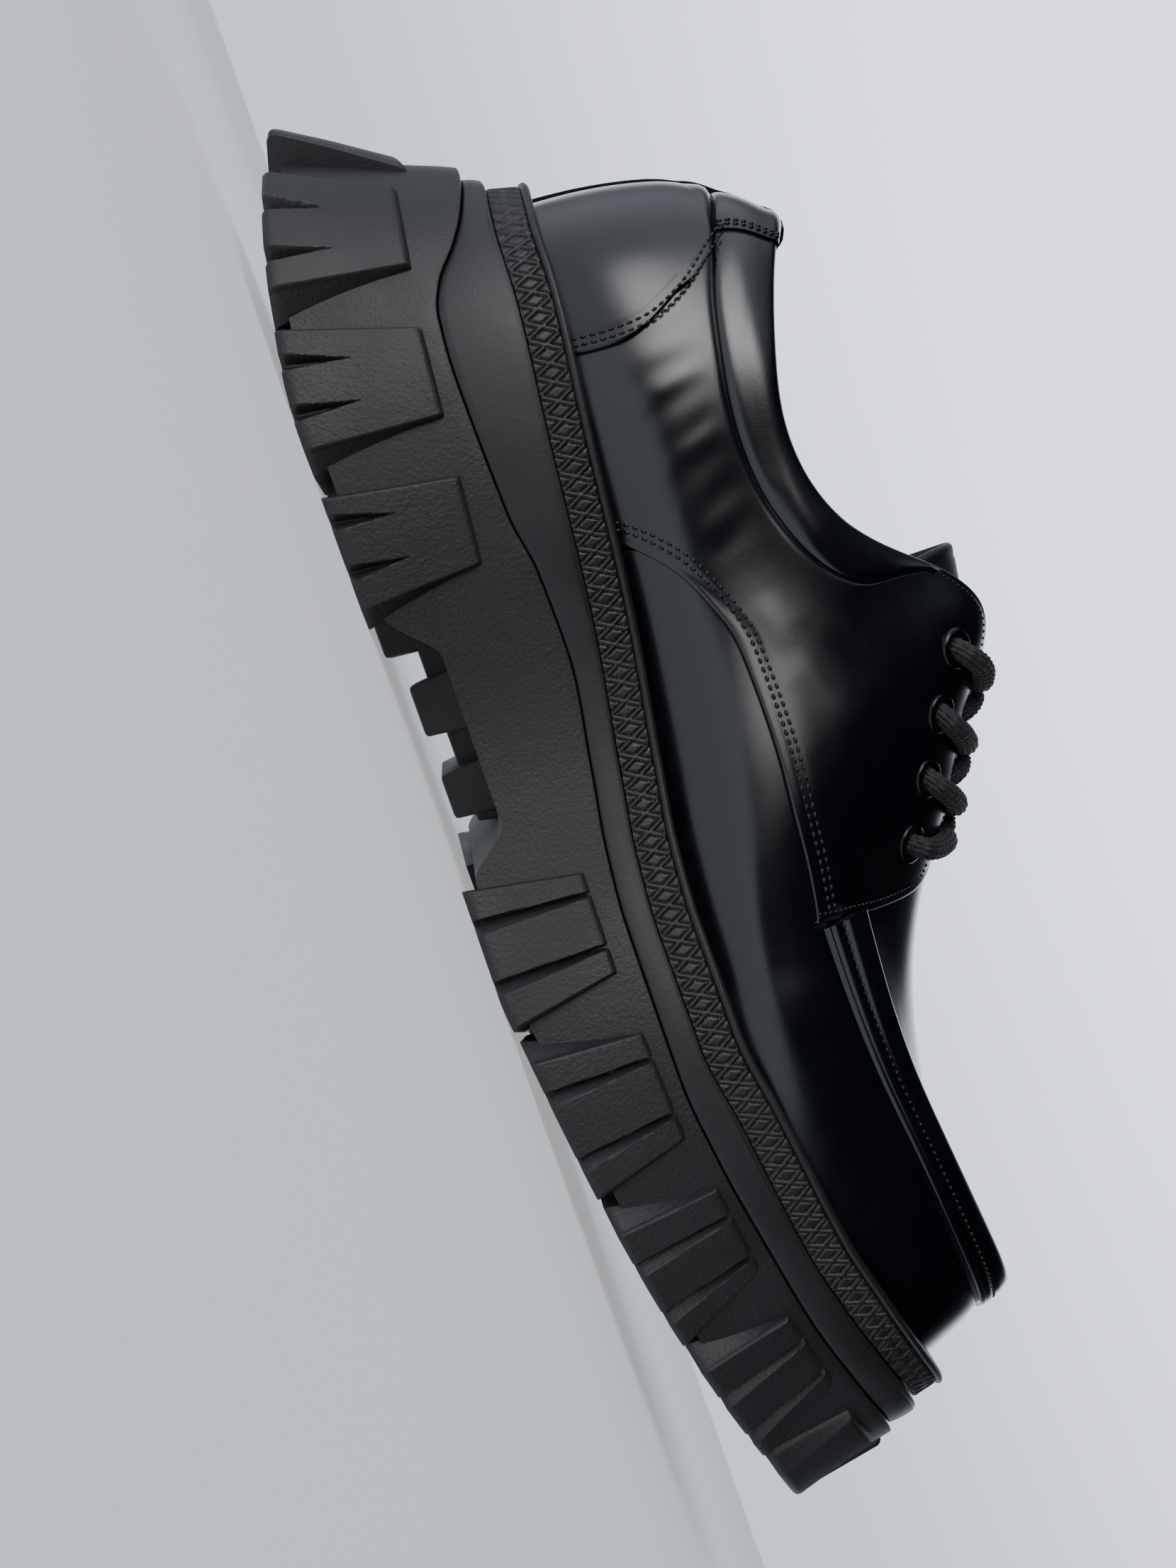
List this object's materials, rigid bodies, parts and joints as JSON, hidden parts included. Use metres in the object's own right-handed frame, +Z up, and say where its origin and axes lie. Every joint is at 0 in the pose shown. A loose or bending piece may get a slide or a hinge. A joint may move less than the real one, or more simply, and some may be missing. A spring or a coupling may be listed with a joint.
{
  "type": "lace-up apron-toe derby shoe on a lugged platform sole",
  "caption": "Black lace-up apron-toe leather shoe for the left foot on a thick lugged rubber sole with a crosshatched welt band.",
  "frame": {"origin": "on the floor under the middle of the shoe's length and width", "axes": "+X from heel to toe, +Z up, -Y to the inner side of this left shoe"},
  "size_m": [0.291, 0.1134, 0.1175],
  "materials": {
    "outsole_rubber": "matte black rubber with a fine stipple",
    "midsole_rubber": "smooth satin black rubber",
    "welt_rubber": "satin black rubber with a crosshatched band",
    "lining": "dark grey woven lining",
    "leather": "polished smooth black leather",
    "eyelet_metal": "gloss black painted metal",
    "lace_cord": "round braided black cord"
  },
  "bodies": {
    "root": {"outsole": "outsole_rubber", "midsole": "midsole_rubber", "welt": "welt_rubber", "insole": "lining", "upper": "leather", "tongue": "leather", "heel_counter": "leather", "apron_ridge": "leather", "eyelet_inner_1": "eyelet_metal", "eyelet_inner_2": "eyelet_metal", "eyelet_inner_3": "eyelet_metal", "eyelet_inner_4": "eyelet_metal", "eyelet_outer_1": "eyelet_metal", "eyelet_outer_2": "eyelet_metal", "eyelet_outer_3": "eyelet_metal", "eyelet_outer_4": "eyelet_metal", "lace_bar": "lace_cord", "lace_cross_1": "lace_cord", "lace_cross_2": "lace_cord", "lace_cross_3": "lace_cord"}
  },
  "joints": []
}
